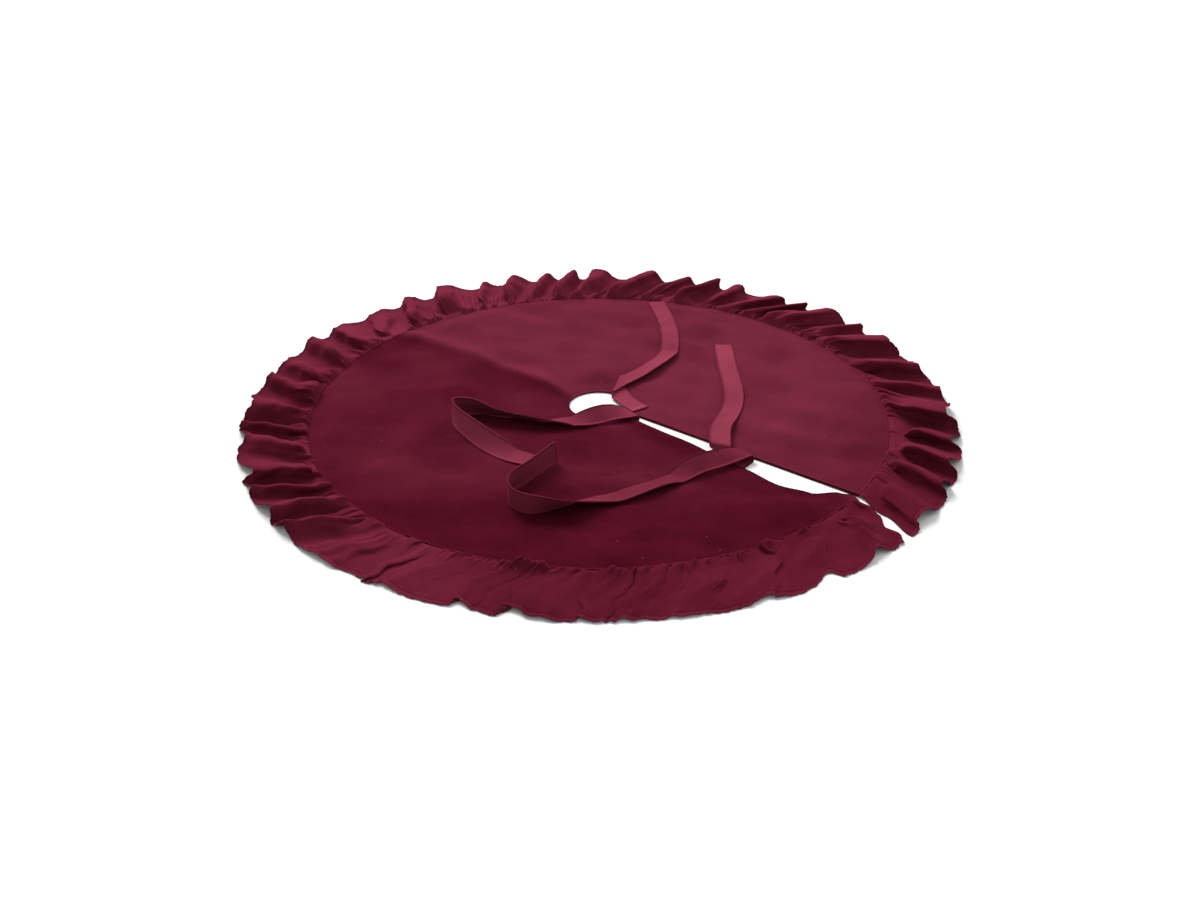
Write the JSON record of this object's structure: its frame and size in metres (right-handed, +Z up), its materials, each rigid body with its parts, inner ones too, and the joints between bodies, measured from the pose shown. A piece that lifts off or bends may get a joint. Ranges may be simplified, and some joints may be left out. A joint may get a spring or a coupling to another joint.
{
  "type": "tree skirt",
  "caption": "Round velvet tree skirt with a gathered ruffle, a trunk hole, an open slit and ribbon ties; it folds in half.",
  "frame": {"origin": "centre of the trunk hole, on the floor under the lining", "axes": "+Z up; the slit runs along -Y and the storage crease along +Y; +X is the right half"},
  "size_m": [1.22, 1.22, 0.0376],
  "materials": {
    "velvet": "burgundy cotton velvet, matt with a soft sheen at grazing angles",
    "tie_velvet": "the same velvet turned into flat ribbons, a little lighter where the pile lies",
    "lining": "plain-woven cotton, matt, redder than the velvet"
  },
  "bodies": {
    "right_half": {"right_face_panel": "velvet", "right_lining_panel": "lining", "right_slit_facing": "lining", "right_hole_facing": "lining", "right_ruffle_back": "velvet", "right_ruffle_front": "velvet", "right_inner_tie_tab": "tie_velvet", "right_outer_tie_tab": "tie_velvet"},
    "left_half": {"left_face_panel": "velvet", "left_lining_panel": "lining", "left_slit_facing": "lining", "left_hole_facing": "lining", "left_ruffle_back": "velvet", "left_ruffle_front": "velvet", "left_inner_tie_tab": "tie_velvet", "left_outer_tie_tab": "tie_velvet"},
    "right_inner_tie_run": {"right_inner_tie": "tie_velvet"},
    "left_inner_tie_run": {"left_inner_tie": "tie_velvet"},
    "right_outer_tie_run": {"right_outer_tie": "tie_velvet"},
    "left_outer_tie_run": {"left_outer_tie": "tie_velvet"}
  },
  "joints": [
    {"name": "half_fold", "type": "hinge", "parent": "right_half", "child": "left_half", "pos_m": [0, 0, 0.012], "axis": [0, -1, 0], "range_deg": [-150, 0]},
    {"name": "right_inner_tie_lift", "type": "hinge", "parent": "right_half", "child": "right_inner_tie_run", "pos_m": [0.03079, -0.05862, 0.00535], "axis": [0.9487, -0.3162, 0], "range_deg": [0, 80]},
    {"name": "left_inner_tie_lift", "type": "hinge", "parent": "left_half", "child": "left_inner_tie_run", "pos_m": [0.00558, -0.06945, 0.00565], "axis": [0.2353, 0.9719, 0], "range_deg": [0, 70]},
    {"name": "right_outer_tie_lift", "type": "hinge", "parent": "right_half", "child": "right_outer_tie_run", "pos_m": [-0.00467, -0.25499, 0.00715], "axis": [0.2764, -0.961, 0], "range_deg": [0, 80]},
    {"name": "left_outer_tie_lift", "type": "hinge", "parent": "left_half", "child": "left_outer_tie_run", "pos_m": [0.00536, -0.29843, 0.00715], "axis": [0.1515, 0.9885, 0], "range_deg": [0, 80]}
  ]
}
